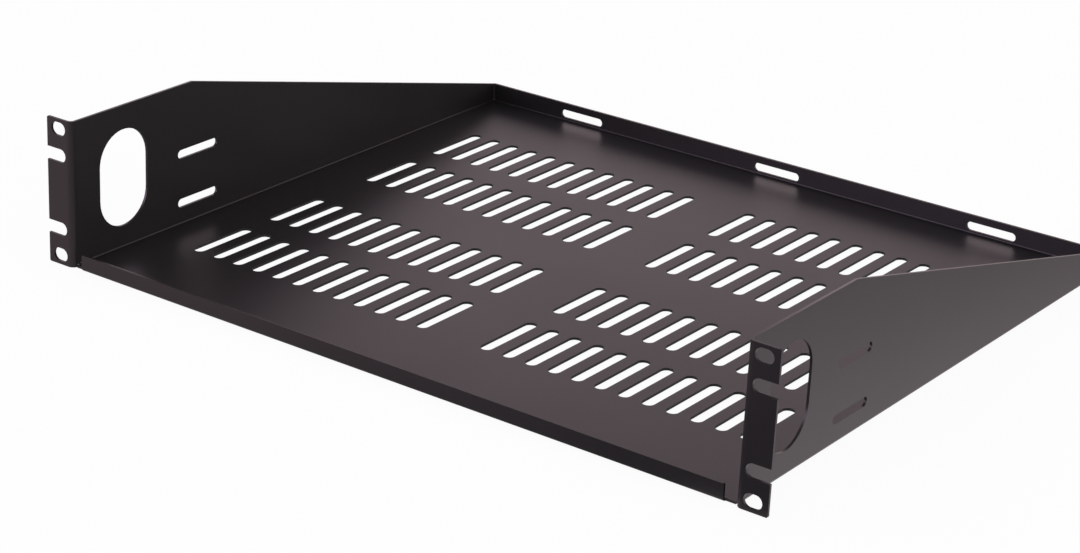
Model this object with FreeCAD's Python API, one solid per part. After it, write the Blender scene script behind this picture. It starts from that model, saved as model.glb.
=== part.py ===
import FreeCAD, Part
import math
import os

# Vented shelf for a 19-inch rack, two units high: one sheet of steel, pierced flat and then folded.
# Millimetres. X runs across the rack, Y from the ears at the front to the rear, Z up from the underside.

Vector = FreeCAD.Vector
AXIS_X = Vector(1, 0, 0)
AXIS_Y = Vector(0, 1, 0)
AXIS_Z = Vector(0, 0, 1)

# Sheet and folds
sheet = 1.5
floor_fold_inside = 1.0
ear_fold_inside = 2.5

# Overall sizes
body_width = 448.0
depth = 400.0
side_height = 88.1
ear_width = 17.3

# Outline of the side walls and of the two lips
level_length = 100.0
front_lip_height = 10.0
front_lip_end_gap = 6.5
floor_corner_gap = 0.5
rear_lip_height = 13.2
corner_radius = 1.0
relief_width = 1.0

# Screw slots and open notches in the ears
ear_slot_length = 10.6
ear_slot_height = 7.9
ear_slot_edge_distance = 8.75
ear_slot_end_distance = 5.95
ear_notch_end_distance = 21.825

# Cut-outs in the side walls
oval_length = 39.0
oval_height = 59.0
oval_front_distance = 42.0
tie_slot_length = 34.0
tie_slot_height = 5.4
tie_slot_front_distance = 104.5
tie_slot_low_centre = 14.5
tie_slot_spacing = 30.7

# Slots in the rear lip
lip_slot_length = 32.5
lip_slot_height = 5.4
lip_slot_spacing = 150.0
lip_slot_count = 3
lip_slot_edge_distance = 7.2

# Air slots in the floor, in two groups side by side and two pairs of rows
vent_length = 47.2
vent_width = 7.3
vent_pitch = 15.0
vent_middle_gap = 44.0
vent_side_margin = 20.0
vent_row_step = 66.8
vent_row_middle_gap = 90.8
vent_end_flats = 8

# Cutters reach this far past the faces that they go through
overcut = 2.0

# Sizes that follow from those above
floor_fold_outside = floor_fold_inside + sheet
ear_fold_outside = ear_fold_inside + sheet
half_body = body_width / 2
half_panel = half_body + ear_width
front = -depth / 2
rear = depth / 2
wall_front = front + ear_fold_outside
floor_front = front + floor_fold_outside
half_lip = half_body - sheet - front_lip_end_gap


def polygon_face(points):
    """A flat face with straight edges through the points."""
    return Part.Face(Part.makePolygon(points + points[:1]))


def slot_face(centre, axis_u, size_u, axis_v, size_v):
    """A flat slot face with full-round ends, as long and as wide as the two sizes."""
    if size_v > size_u:
        axis_u, size_u, axis_v, size_v = axis_v, size_v, axis_u, size_u
    radius = size_v / 2
    straight = size_u / 2 - radius
    if straight <= 0:
        return Part.Face(Part.Wire(Part.makeCircle(radius, centre, axis_u.cross(axis_v))))
    near = centre - axis_u * straight
    far = centre + axis_u * straight
    side = axis_v * radius
    tip = axis_u * radius
    edges = [
        Part.LineSegment(near - side, far - side).toShape(),
        Part.Arc(far - side, far + tip, far + side).toShape(),
        Part.LineSegment(far + side, near + side).toShape(),
        Part.Arc(near + side, near - tip, near - side).toShape(),
    ]
    return Part.Face(Part.Wire(edges))


def vent_face(centre):
    """An air slot along Y. There are many, so each round end is made of a few flats on its half circle."""
    radius = vent_width / 2
    straight = vent_length / 2 - radius
    points = []
    for end in (1, -1):
        for step in range(vent_end_flats + 1):
            angle = math.pi * step / vent_end_flats
            across = radius * math.cos(angle)
            along = straight + radius * math.sin(angle)
            points.append(centre + Vector(end * across, end * along, 0))
    return polygon_face(points)


def fold_face(corner, axis_in, axis_out, inside, leg):
    """Section of a quarter fold of the given inside radius, and the flat leg after it.

    The corner is where the two inner faces of the sheet would meet if the fold were sharp. The sheet
    comes in against axis_in and leaves along axis_out.
    """
    outside = inside + sheet
    centre = corner + (axis_in + axis_out) * inside
    diagonal = (axis_in + axis_out) * (-math.sqrt(0.5))
    end = centre + axis_out * leg
    inner_start = centre - axis_out * inside
    inner_end = centre - axis_in * inside
    outer_start = centre - axis_out * outside
    outer_end = centre - axis_in * outside
    edges = [
        Part.Arc(inner_start, centre + diagonal * inside, inner_end).toShape(),
        Part.LineSegment(inner_end, end - axis_in * inside).toShape(),
        Part.LineSegment(end - axis_in * inside, end - axis_in * outside).toShape(),
        Part.LineSegment(end - axis_in * outside, outer_end).toShape(),
        Part.Arc(outer_end, centre + diagonal * outside, outer_start).toShape(),
        Part.LineSegment(outer_start, inner_start).toShape(),
    ]
    return Part.Face(Part.Wire(edges))


def round_corners(plate, places):
    """Rounds a plate's corners: each is the edge through the sheet whose middle is nearest to a place."""
    picked = []
    for place in places:
        picked.append(min(plate.Edges, key=lambda edge: edge.CenterOfMass.distanceToPoint(place)))
    return plate.makeFillet(corner_radius, picked)


def rounded_block(half_width, back, bottom, radius):
    """A block open at the front, with its lower edges and rear corners rounded as the folds are."""
    start = wall_front
    block = Part.makeBox(2 * half_width, back - start, side_height, Vector(-half_width, start, bottom))
    slack = sheet / 10
    picked = []
    for edge in block.Edges:
        box = edge.BoundBox
        lies_low = box.ZMax < bottom + slack
        lies_at_rear = box.YMin > back - slack
        lies_at_front = box.YMax < start + slack
        lies_high = box.ZMin > bottom + slack
        if (lies_low or lies_at_rear) and not lies_at_front and not lies_high:
            picked.append(edge)
    return block.makeFillet(radius, picked)


def make_tray():
    """Floor, side walls and rear lip, with the folds between them, before trimming."""
    outside = rounded_block(half_body, rear, 0, floor_fold_outside)
    inside = rounded_block(half_body - sheet, rear - sheet, sheet, floor_fold_inside)
    return outside.cut(inside)


def wall_trim():
    """What is cut away above the side walls' level and sloping edges and the rear lip."""
    knee = front + level_length
    above = side_height + overcut
    points = [
        Vector(-half_panel, knee, side_height),
        Vector(-half_panel, rear - sheet, rear_lip_height),
        Vector(-half_panel, rear + overcut, rear_lip_height),
        Vector(-half_panel, rear + overcut, above),
        Vector(-half_panel, knee, above),
    ]
    return polygon_face(points).extrude(AXIS_X * (2 * half_panel))


def corner_reliefs():
    """Notches in the side folds at the two front corners, which free the floor and the ears from them."""
    width = floor_fold_outside + overcut
    length = relief_width + overcut
    height = floor_fold_outside + relief_width + overcut
    place = Vector(half_body - floor_fold_outside, wall_front - overcut, -overcut)
    right = Part.makeBox(width, length, height, place)
    return [right, mirrored(right)]


def make_floor_front():
    """The floor's strip between the two ears' folds, as far forward as the front lip's fold."""
    half_strip = half_body - sheet - floor_corner_gap
    length = wall_front - floor_front
    return Part.makeBox(2 * half_strip, length, sheet, Vector(-half_strip, floor_front, 0))


def mirrored(shape):
    """The same shape on the other side of the shelf."""
    return shape.mirror(Vector(0, 0, 0), AXIS_X)


def make_front_lip():
    """The low lip folded up along the front edge of the floor."""
    corner = Vector(-half_lip, front + sheet, sheet)
    leg = front_lip_height - floor_fold_outside
    section = fold_face(corner, AXIS_Y, AXIS_Z, floor_fold_inside, leg)
    lip = section.extrude(AXIS_X * (2 * half_lip))
    middle = front + sheet / 2
    return round_corners(lip, [Vector(end, middle, front_lip_height) for end in (-half_lip, half_lip)])


def make_ear():
    """The right ear: folded outwards from the front edge of its side wall, down to the underside."""
    corner = Vector(half_body, front + sheet, 0)
    section = fold_face(corner, AXIS_Y, AXIS_X, ear_fold_inside, ear_width - ear_fold_inside)
    ear = section.extrude(AXIS_Z * side_height)
    middle = front + sheet / 2
    return round_corners(ear, [Vector(half_panel, middle, end) for end in (0, side_height)])


def ear_cutters():
    """The screw slots near the ends of both ears, and the open notches between them."""
    reach = AXIS_Y * (sheet + 2 * overcut)
    start = front - overcut
    slot_x = half_panel - ear_slot_edge_distance
    slot_inner_end = slot_x - ear_slot_length / 2
    notch_length = half_panel - slot_inner_end + ear_slot_height
    right = []
    for height in (ear_slot_end_distance, side_height - ear_slot_end_distance):
        centre = Vector(slot_x, start, height)
        right.append(slot_face(centre, AXIS_X, ear_slot_length, AXIS_Z, ear_slot_height).extrude(reach))
    for height in (ear_notch_end_distance, side_height - ear_notch_end_distance):
        centre = Vector(slot_inner_end + notch_length / 2, start, height)
        right.append(slot_face(centre, AXIS_X, notch_length, AXIS_Z, ear_slot_height).extrude(reach))
    return right + [mirrored(cutter) for cutter in right]


def side_cutters():
    """The oval opening and the two tie slots in each side wall; one cutter goes through both walls."""
    reach = AXIS_X * (body_width + 2 * overcut)
    start = -half_body - overcut
    oval_centre = Vector(start, front + oval_front_distance, side_height / 2)
    cutters = [slot_face(oval_centre, AXIS_Y, oval_length, AXIS_Z, oval_height).extrude(reach)]
    for step in range(2):
        height = tie_slot_low_centre + step * tie_slot_spacing
        centre = Vector(start, front + tie_slot_front_distance, height)
        cutters.append(slot_face(centre, AXIS_Y, tie_slot_length, AXIS_Z, tie_slot_height).extrude(reach))
    return cutters


def rear_lip_cutters():
    """The row of tie slots in the rear lip, set out from its upper edge."""
    height = rear_lip_height - lip_slot_edge_distance
    cutters = []
    for index in range(lip_slot_count):
        place = (index - (lip_slot_count - 1) / 2) * lip_slot_spacing
        centre = Vector(place, rear - sheet - overcut, height)
        face = slot_face(centre, AXIS_X, lip_slot_length, AXIS_Z, lip_slot_height)
        cutters.append(face.extrude(AXIS_Y * (sheet + 2 * overcut)))
    return cutters


def vent_cutters():
    """The field of air slots: as many columns each side as the floor has room for, in four rows."""
    flat = half_body - floor_fold_outside
    room = flat - vent_side_margin - vent_middle_gap / 2 - vent_width / 2
    columns = int(room // vent_pitch) + 1
    inner_row = vent_row_middle_gap / 2
    rows = [inner_row, inner_row + vent_row_step]
    cutters = []
    for column in range(columns):
        across = vent_middle_gap / 2 + column * vent_pitch
        for row in rows:
            for side_x in (-1, 1):
                for side_y in (-1, 1):
                    face = vent_face(Vector(side_x * across, side_y * row, -overcut))
                    cutters.append(face.extrude(AXIS_Z * (sheet + 2 * overcut)))
    return cutters


def make_shelf():
    """The whole shelf as one solid."""
    tray = make_tray().cut([wall_trim()] + corner_reliefs())
    ear = make_ear()
    blank = tray.fuse([make_floor_front(), make_front_lip(), ear, mirrored(ear)])
    shelf = blank.cut(vent_cutters() + side_cutters() + rear_lip_cutters() + ear_cutters())
    return shelf.removeSplitter()


os.makedirs("parts", exist_ok=True)
rack_shelf = make_shelf()
rack_shelf.exportStep("parts/rack_shelf.step")
print("solids", len(rack_shelf.Solids), "valid", rack_shelf.isValid())
print("volume in cm3", round(rack_shelf.Volume / 1000, 2), "faces", len(rack_shelf.Faces))
print("box", rack_shelf.BoundBox)
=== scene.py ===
"""Dresses a vented rack shelf: one folded steel sheet in satin black powder coat, on a white sweep.

Lengths are in metres, angles in radians, and colours are linear.
"""

from __future__ import annotations

import logging
import math
from dataclasses import dataclass, field
from enum import Enum

import bpy
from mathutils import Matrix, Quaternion, Vector


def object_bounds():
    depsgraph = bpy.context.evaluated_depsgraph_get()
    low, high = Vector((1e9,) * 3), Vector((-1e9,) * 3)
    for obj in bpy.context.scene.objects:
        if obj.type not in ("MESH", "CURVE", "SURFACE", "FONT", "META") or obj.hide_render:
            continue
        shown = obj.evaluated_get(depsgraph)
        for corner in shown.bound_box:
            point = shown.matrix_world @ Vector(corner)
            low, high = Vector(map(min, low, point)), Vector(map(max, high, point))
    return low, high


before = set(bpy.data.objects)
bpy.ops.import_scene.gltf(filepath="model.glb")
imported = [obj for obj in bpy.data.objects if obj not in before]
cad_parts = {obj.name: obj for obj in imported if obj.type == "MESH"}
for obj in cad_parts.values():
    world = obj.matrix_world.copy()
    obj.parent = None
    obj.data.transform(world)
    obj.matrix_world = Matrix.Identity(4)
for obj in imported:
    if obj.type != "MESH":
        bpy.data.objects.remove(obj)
cad_low, cad_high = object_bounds()

Colour = tuple[float, float, float]
Heading = tuple[float, float, float]
log = logging.getLogger("rack_shelf")

# Sockets of a Mix node for colours, which share their names with those for numbers.
MIX_FACTOR, MIX_FIRST, MIX_SECOND = 0, 6, 7
MIX_RESULT = 2


class Piece(Enum):
    """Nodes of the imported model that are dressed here."""

    SHELF = "rack_shelf"


class Slot(Enum):
    """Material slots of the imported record."""

    POWDER_COAT = "powder_coat"


class Ray(Enum):
    """Kinds of ray, by the names of the Light Path node's outputs."""

    CAMERA = "Is Camera Ray"
    GLOSSY = "Is Glossy Ray"
    TRANSMISSION = "Is Transmission Ray"


class Blend(Enum):
    """Operations of a Math node that combine or shape masks."""

    ADD = "ADD"
    MULTIPLY = "MULTIPLY"
    MAXIMUM = "MAXIMUM"


def opaque(colour: Colour) -> tuple[float, float, float, float]:
    """The colour with full alpha."""
    return (*colour, 1.0)


@dataclass
class NodeBench:
    """A small helper that adds nodes to one node tree and wires them up."""

    tree: bpy.types.NodeTree

    def add(self, kind: str, **settings: object) -> bpy.types.Node:
        """Adds a node.

        Args:
            kind: the node's type name.
            settings: properties to set on the node.

        Returns:
            The new node.
        """
        node = self.tree.nodes.new(kind)
        for name, value in settings.items():
            setattr(node, name, value)
        return node

    def feed(self, socket: bpy.types.NodeSocket, source: bpy.types.NodeSocket | float | tuple) -> None:
        """Links a socket to its source, or sets it where the source is a plain value.

        Args:
            socket: the input to feed.
            source: another node's output, or a value.
        """
        if isinstance(source, bpy.types.NodeSocket):
            self.tree.links.new(source, socket)
        else:
            socket.default_value = source

    def math(self, blend: Blend, first: object, second: object) -> bpy.types.NodeSocket:
        """Adds a Math node.

        Args:
            blend: the operation.
            first: first output or number.
            second: second output or number.

        Returns:
            The node's output.
        """
        node = self.add("ShaderNodeMath", operation=blend.value)
        self.feed(node.inputs[0], first)
        self.feed(node.inputs[1], second)
        return node.outputs[0]

    def ramp(
        self,
        value: bpy.types.NodeSocket,
        start: tuple[float, float],
        end: tuple[float, float],
        smooth: bool = False,
    ) -> bpy.types.NodeSocket:
        """Adds a Map Range node, clamped at both ends.

        Args:
            value: the output to map.
            start: a value and what it becomes.
            end: another value and what it becomes.
            smooth: eases in and out instead of running straight.

        Returns:
            The mapped value.
        """
        style = "SMOOTHSTEP" if smooth else "LINEAR"
        node = self.add("ShaderNodeMapRange", interpolation_type=style, clamp=True)
        self.feed(node.inputs["Value"], value)
        self.feed(node.inputs["From Min"], start[0])
        self.feed(node.inputs["From Max"], end[0])
        self.feed(node.inputs["To Min"], start[1])
        self.feed(node.inputs["To Max"], end[1])
        return node.outputs["Result"]

    def step(self, value: bpy.types.NodeSocket, span: tuple[float, float]) -> bpy.types.NodeSocket:
        """Maps a value to a mask that rises smoothly from 0 to 1 over the span."""
        return self.ramp(value, (span[0], 0.0), (span[1], 1.0), smooth=True)

    def mix(self, factor: object, first: object, second: object) -> bpy.types.NodeSocket:
        """Adds a Mix node for colours.

        Args:
            factor: share of the second colour.
            first: first output or RGBA colour.
            second: second output or RGBA colour.

        Returns:
            The mixed colour.
        """
        node = self.add("ShaderNodeMix", data_type="RGBA")
        self.feed(node.inputs[MIX_FACTOR], factor)
        self.feed(node.inputs[MIX_FIRST], first)
        self.feed(node.inputs[MIX_SECOND], second)
        return node.outputs[MIX_RESULT]

    def noise(self, place: bpy.types.NodeSocket, size: float, detail: float) -> bpy.types.NodeSocket:
        """Adds a noise texture.

        Args:
            place: the coordinates.
            size: width of one blotch, in metres.
            detail: how many finer layers it has.

        Returns:
            The noise, about 0 to 1.
        """
        node = self.add("ShaderNodeTexNoise")
        self.feed(node.inputs["Vector"], place)
        self.feed(node.inputs["Scale"], 1.0 / size)
        self.feed(node.inputs["Detail"], detail)
        return node.outputs["Fac"]

    def sees(self, *rays: Ray) -> bpy.types.NodeSocket:
        """Adds a Light Path node.

        Args:
            rays: the kinds of ray to pick out.

        Returns:
            A mask that is 1 for those rays.
        """
        path = self.add("ShaderNodeLightPath")
        mask = path.outputs[rays[0].value]
        for ray in rays[1:]:
            mask = self.math(Blend.MAXIMUM, mask, path.outputs[ray.value])
        return mask


@dataclass(frozen=True)
class CoatGrain:
    """Shader group for sprayed and baked powder: orange peel, fine grain, and patches of gloss."""

    name: str = "coat_grain"
    peel_size: float = 0.0022
    peel_detail: float = 1.0
    grain_size: float = 0.0005
    grain_detail: float = 2.0
    grain_share: float = 0.35
    grain_swing: float = 0.5
    patch_size: float = 0.085
    patch_detail: float = 3.0
    patch_swing: float = 1.0
    noise_span: tuple[float, float] = (0.3, 0.7)

    def group(self) -> bpy.types.NodeTree:
        """Builds the group, or finds it if it has been built.

        Returns:
            The group, with inputs Colour, Colour Spread, Roughness and Roughness Spread, and outputs
            Colour, Roughness and Height.
        """
        tree = bpy.data.node_groups.get(self.name)
        if tree is None:
            tree = bpy.data.node_groups.new(self.name, "ShaderNodeTree")
            self._fill(tree)
        return tree

    def _fill(self, tree: bpy.types.NodeTree) -> None:
        """Adds the sockets and nodes.

        Args:
            tree: the empty group.
        """
        for label, kind in (
            ("Colour", "NodeSocketColor"),
            ("Colour Spread", "NodeSocketFloat"),
            ("Roughness", "NodeSocketFloat"),
            ("Roughness Spread", "NodeSocketFloat"),
        ):
            tree.interface.new_socket(label, in_out="INPUT", socket_type=kind)
        for label, kind in (
            ("Colour", "NodeSocketColor"),
            ("Roughness", "NodeSocketFloat"),
            ("Height", "NodeSocketFloat"),
        ):
            tree.interface.new_socket(label, in_out="OUTPUT", socket_type=kind)
        bench = NodeBench(tree)
        given = bench.add("NodeGroupInput")
        put_out = bench.add("NodeGroupOutput")
        place = bench.add("ShaderNodeTexCoord").outputs["Object"]
        peel = bench.noise(place, self.peel_size, self.peel_detail)
        grain = bench.noise(place, self.grain_size, self.grain_detail)
        patch = bench.noise(place, self.patch_size, self.patch_detail)

        height = bench.math(Blend.ADD, peel, bench.math(Blend.MULTIPLY, grain, self.grain_share))
        bench.feed(put_out.inputs["Height"], height)

        low, high = self.noise_span
        broad = bench.ramp(patch, (low, -self.patch_swing), (high, self.patch_swing), smooth=True)
        fine = bench.ramp(grain, (low, -self.grain_swing), (high, self.grain_swing))
        both = bench.math(Blend.ADD, broad, fine)
        gloss = bench.math(Blend.MULTIPLY, both, given.outputs["Roughness Spread"])
        bench.feed(put_out.inputs["Roughness"], bench.math(Blend.ADD, given.outputs["Roughness"], gloss))

        shade = bench.math(Blend.MULTIPLY, both, given.outputs["Colour Spread"])
        lift = bench.math(Blend.ADD, shade, 1.0)
        scaled = bench.add("ShaderNodeVectorMath", operation="SCALE")
        bench.feed(scaled.inputs[0], given.outputs["Colour"])
        bench.feed(scaled.inputs["Scale"], lift)
        bench.feed(put_out.inputs["Colour"], scaled.outputs[0])


@dataclass(frozen=True)
class PowderCoat:
    """A satin black powder coat, thick and level on the faces or drawn thin over an edge."""

    name: str
    colour: Colour
    roughness: float
    colour_spread: float
    roughness_spread: float
    relief: float
    relief_strength: float = 1.0
    grain: CoatGrain = field(default_factory=CoatGrain)

    def material(self) -> bpy.types.Material:
        """Builds the finish.

        Returns:
            The new material.
        """
        material = bpy.data.materials.new(self.name)
        material.use_nodes = True
        material.diffuse_color = opaque(self.colour)
        bench = NodeBench(material.node_tree)
        paint = material.node_tree.nodes["Principled BSDF"]
        grain = bench.add("ShaderNodeGroup", node_tree=self.grain.group())
        bench.feed(grain.inputs["Colour"], opaque(self.colour))
        bench.feed(grain.inputs["Colour Spread"], self.colour_spread)
        bench.feed(grain.inputs["Roughness"], self.roughness)
        bench.feed(grain.inputs["Roughness Spread"], self.roughness_spread)
        bump = bench.add("ShaderNodeBump")
        bench.feed(bump.inputs["Strength"], self.relief_strength)
        bench.feed(bump.inputs["Distance"], self.relief)
        bench.feed(bump.inputs["Height"], grain.outputs["Height"])
        bench.feed(paint.inputs["Base Color"], grain.outputs["Colour"])
        bench.feed(paint.inputs["Roughness"], grain.outputs["Roughness"])
        bench.feed(paint.inputs["Normal"], bump.outputs["Normal"])
        return material


@dataclass
class Shelf:
    """The folded sheet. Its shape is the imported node's; here its cut edges are broken and it is coated."""

    join_within: float = 0.000002
    flat_within: float = math.radians(0.2)
    widest_easing: float = 0.0002
    easing_steps: int = 3
    easing_above: float = math.radians(50.0)
    edge_coat_index: int = 1
    large_face_weight: int = 100
    face_coat: PowderCoat = PowderCoat(
        name="coat_on_faces",
        colour=(0.0100, 0.0098, 0.0100),
        roughness=0.385,
        colour_spread=0.08,
        roughness_spread=0.012,
        relief=0.000010,
    )
    edge_coat: PowderCoat = PowderCoat(
        name="coat_on_edges",
        colour=(0.0120, 0.0117, 0.0118),
        roughness=0.36,
        colour_spread=0.12,
        roughness_spread=0.02,
        relief=0.000006,
    )

    @property
    def sheet(self) -> bpy.types.Object:
        """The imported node's object."""
        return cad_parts[Piece.SHELF.value]

    def build(self) -> None:
        """Breaks every cut edge by a hair, so that the shading stays level on the faces beside it.

        The Bevel modifier clamps its width where bevels would overlap. The tightest spot leaves about
        0.009 mm everywhere, far under the widest easing. Creases below easing_above, such as the knee of
        each wall's top, aren't broken, and the shading runs across them.
        """
        join = self.sheet.modifiers.new("join_facets", "WELD")
        join.merge_threshold = self.join_within
        flatten = self.sheet.modifiers.new("merge_flat_facets", "DECIMATE")
        flatten.decimate_type = "DISSOLVE"
        flatten.angle_limit = self.flat_within
        ease = self.sheet.modifiers.new("ease_cut_edges", "BEVEL")
        ease.width = self.widest_easing
        ease.segments = self.easing_steps
        ease.limit_method = "ANGLE"
        ease.angle_limit = self.easing_above
        ease.material = self.edge_coat_index
        level = self.sheet.modifiers.new("level_shading", "WEIGHTED_NORMAL")
        level.weight = self.large_face_weight
        level.keep_sharp = False

    def dress(self) -> None:
        """Puts the coat on the faces and the thinner coat on the broken edges."""
        materials = self.sheet.data.materials
        materials.clear()
        materials.append(self.face_coat.material())
        materials.append(self.edge_coat.material())
        log.info("%s: coated on faces and edges", self.sheet.name)


@dataclass
class Lamp:
    """A soft box that faces a point."""

    name: str
    place: Vector
    target: Vector
    width: float
    height: float
    radiance: float
    colour: Colour
    in_gloss: bool

    def build(self) -> None:
        """Adds the lamp, with its power worked out from its radiance."""
        data = bpy.data.lights.new(self.name, "AREA")
        data.shape = "RECTANGLE"
        data.size = self.width
        data.size_y = self.height
        data.energy = self.radiance * math.pi * self.width * self.height
        data.color = self.colour
        lamp = bpy.data.objects.new(self.name, data)
        lamp.location = self.place
        lamp.rotation_mode = "QUATERNION"
        lamp.rotation_quaternion = (self.target - self.place).to_track_quat("-Z", "Y")
        lamp.visible_glossy = self.in_gloss
        bpy.context.scene.collection.objects.link(lamp)
        log.info("%s: soft box of %.1f by %.1f m", self.name, self.width, self.height)


@dataclass
class Sweep:
    """The white floor under the shelf, and the white surround above it.

    The colours in front, behind and beside are painted on the floor for the coat's gloss only: painted
    shade in front and behind the shelf, and painted light beside it, which the coat shows as painted
    reflections. The backdrop colours are the world's light that gloss sees. Each span or fall is where one
    of them fades into the next.
    """

    half_side: float = 9.0
    drop: float = 0.0004
    glow_share: float = 0.94
    reflectance: Colour = (0.9, 0.9, 0.9)
    white: Colour = (1.0, 1.0, 1.0)
    # Painted shade on the floor in front, seen only by gloss and shown by the coat as a painted reflection:
    # dim at the front left, near black at the front right.
    front_left_painted_shade: Colour = (0.56, 0.42, 0.42)
    front_right_painted_shade: Colour = (0.02, 0.01, 0.03)
    front_span: tuple[float, float] = (-0.20, 0.22)
    # Painted shadow on the floor under and behind the shelf, seen only by gloss.
    behind: Colour = (0.34, 0.35, 0.34)
    behind_span: tuple[float, float] = (-0.215, -0.185)
    # Painted light on the floor beside the shelf's right, seen only by gloss: brighter than white close by,
    # fading into painted shade further away.
    beside_painted_light: Colour = (1.08, 0.97, 1.00)
    beside_far_painted_shade: Colour = (0.57, 0.49, 0.51)
    beside_span: tuple[float, float] = (0.18, 0.21)
    beside_heading: Heading = (0.86, 0.51, 0.0)
    beside_fall: tuple[float, float] = (0.10, 0.44)
    backdrop_low: Colour = (1.55, 1.25, 1.30)
    backdrop_high: Colour = (0.18, 0.14, 0.18)
    backdrop_span: tuple[float, float] = (0.24, 0.54)
    ambient: Colour = (0.80, 0.80, 0.80)

    def build(self) -> None:
        """Adds the floor plane and the surround."""
        side = self.half_side
        corners = [(-side, -side), (side, -side), (side, side), (-side, side)]
        mesh = bpy.data.meshes.new("sweep_floor")
        mesh.from_pydata([(x, y, cad_low.z - self.drop) for x, y in corners], [], [(0, 1, 2, 3)])
        floor = bpy.data.objects.new("sweep_floor", mesh)
        bpy.context.scene.collection.objects.link(floor)
        mesh.materials.append(self._floor_material())
        self._surround()
        log.info("%s: white floor and surround", floor.name)

    def _floor_material(self) -> bpy.types.Material:
        """White card that glows to the camera and keeps a shadow.

        Gloss sees painted reflection tones on it instead: painted shade, darkest at the front right and dim
        under and behind the shelf, and painted light in the strip close beside the shelf.

        Returns:
            The new material.
        """
        material = bpy.data.materials.new("sweep_card")
        material.use_nodes = True
        tree = material.node_tree
        tree.nodes.clear()
        bench = NodeBench(tree)
        place = bench.add("ShaderNodeNewGeometry").outputs["Position"]
        parts = bench.add("ShaderNodeSeparateXYZ")
        bench.feed(parts.inputs[0], place)
        along = bench.add("ShaderNodeVectorMath", operation="DOT_PRODUCT")
        bench.feed(along.inputs[0], place)
        bench.feed(along.inputs[1], self.beside_heading)
        # Masks that place the painted shade, the painted shadow and the painted light on the floor.
        to_right = bench.step(parts.outputs["X"], self.front_span)
        is_behind = bench.step(parts.outputs["Y"], self.behind_span)
        is_beside = bench.step(parts.outputs["X"], self.beside_span)
        away = bench.step(along.outputs["Value"], self.beside_fall)
        # The painted reflection colour that only gloss sees: painted shade in front, painted light fading to
        # shade beside, painted shadow behind.
        front = bench.mix(to_right, opaque(self.front_left_painted_shade), opaque(self.front_right_painted_shade))
        beside = bench.mix(away, opaque(self.beside_painted_light), opaque(self.beside_far_painted_shade))
        painted_reflection = bench.mix(is_behind, front, bench.mix(is_beside, opaque(self.behind), beside))
        direct = bench.sees(Ray.CAMERA, Ray.TRANSMISSION)

        glow = bench.add("ShaderNodeEmission")
        bench.feed(glow.inputs["Color"], bench.mix(direct, painted_reflection, opaque(self.white)))
        card = bench.add("ShaderNodeBsdfDiffuse")
        bench.feed(card.inputs["Color"], opaque(self.reflectance))
        share = bench.math(Blend.MULTIPLY, direct, self.glow_share)
        mask = bench.math(Blend.MAXIMUM, share, bench.sees(Ray.GLOSSY))
        blend = bench.add("ShaderNodeMixShader")
        bench.feed(blend.inputs[0], mask)
        bench.feed(blend.inputs[1], card.outputs[0])
        bench.feed(blend.inputs[2], glow.outputs[0])
        bench.feed(bench.add("ShaderNodeOutputMaterial").inputs["Surface"], blend.outputs[0])
        return material

    def _surround(self) -> None:
        """The world: white to the camera, a shaded backdrop to gloss, and soft light for the rest."""
        world = bpy.data.worlds.new("surround")
        bpy.context.scene.world = world
        world.use_nodes = True
        tree = world.node_tree
        tree.nodes.clear()
        bench = NodeBench(tree)
        parts = bench.add("ShaderNodeSeparateXYZ")
        bench.feed(parts.inputs[0], bench.add("ShaderNodeTexCoord").outputs["Generated"])
        height = bench.step(parts.outputs["Z"], self.backdrop_span)
        backdrop = bench.mix(height, opaque(self.backdrop_low), opaque(self.backdrop_high))
        seen = bench.mix(bench.sees(Ray.GLOSSY), opaque(self.ambient), backdrop)
        direct = bench.sees(Ray.CAMERA, Ray.TRANSMISSION)
        light = bench.add("ShaderNodeBackground")
        bench.feed(light.inputs["Color"], bench.mix(direct, seen, opaque(self.white)))
        bench.feed(bench.add("ShaderNodeOutputWorld").inputs["Surface"], light.outputs[0])


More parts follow.
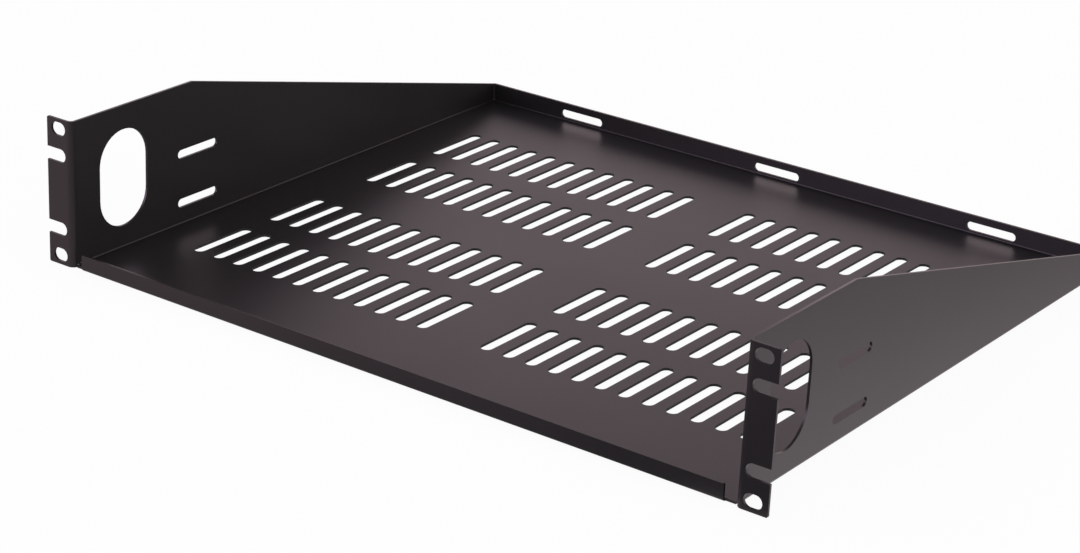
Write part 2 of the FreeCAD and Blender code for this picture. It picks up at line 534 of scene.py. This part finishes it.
@dataclass
class Studio:
    """The sweep and the soft boxes round it."""

    sweep: Sweep = field(default_factory=Sweep)
    lamps: tuple[Lamp, ...] = (
        Lamp(
            name="key_soft_box",
            place=Vector((-1.35, -1.95, 0.62)),
            target=Vector((0.0, 0.0, 0.0)),
            width=2.4,
            height=1.0,
            radiance=2.4,
            colour=(1.0, 0.74, 1.14),
            in_gloss=True,
        ),
        Lamp(
            name="fill_soft_box",
            place=Vector((2.2, 0.3, 0.9)),
            target=Vector((0.0, 0.0, 0.0)),
            width=2.2,
            height=2.2,
            radiance=0.5,
            colour=(1.0, 1.0, 1.0),
            in_gloss=False,
        ),
    )

    def build(self) -> None:
        """Builds the sweep, then the lamps."""
        self.sweep.build()
        for lamp in self.lamps:
            lamp.build()


@dataclass
class ShelfCamera:
    """The camera at the photograph's viewing angle, found by fitting the shelf's own corners and slots."""

    place: Vector = field(default_factory=lambda: Vector((0.83555, -1.24514, 0.61248)))
    azimuth: float = math.radians(37.875)
    elevation: float = math.radians(22.520)
    roll: float = math.radians(1.709)
    lens: float = 93.227
    sensor: float = 36.0
    shift: tuple[float, float] = (0.11806, 0.00046)

    def build(self) -> None:
        """Adds the camera and makes it the scene's own."""
        data = bpy.data.cameras.new("shelf_camera")
        data.sensor_fit = "HORIZONTAL"
        data.sensor_width = self.sensor
        data.lens = self.lens
        data.shift_x, data.shift_y = self.shift
        level = math.cos(self.elevation)
        ahead = Vector((
            -math.sin(self.azimuth) * level,
            math.cos(self.azimuth) * level,
            -math.sin(self.elevation),
        ))
        camera = bpy.data.objects.new("shelf_camera", data)
        camera.location = self.place
        camera.rotation_mode = "QUATERNION"
        camera.rotation_quaternion = ahead.to_track_quat("-Z", "Y") @ Quaternion((0, 0, 1), self.roll)
        bpy.context.scene.collection.objects.link(camera)
        bpy.context.scene.camera = camera
        bpy.context.scene.view_settings.view_transform = "Standard"
        log.info("%s: lens %.1f mm", camera.name, self.lens)


def main() -> None:
    """Builds the camera, the studio and the shelf in order."""
    logging.basicConfig(level=logging.INFO, format="%(message)s")
    ShelfCamera().build()
    Studio().build()
    shelf = Shelf()
    shelf.build()
    shelf.dress()


if __name__ == "__main__":
    main()
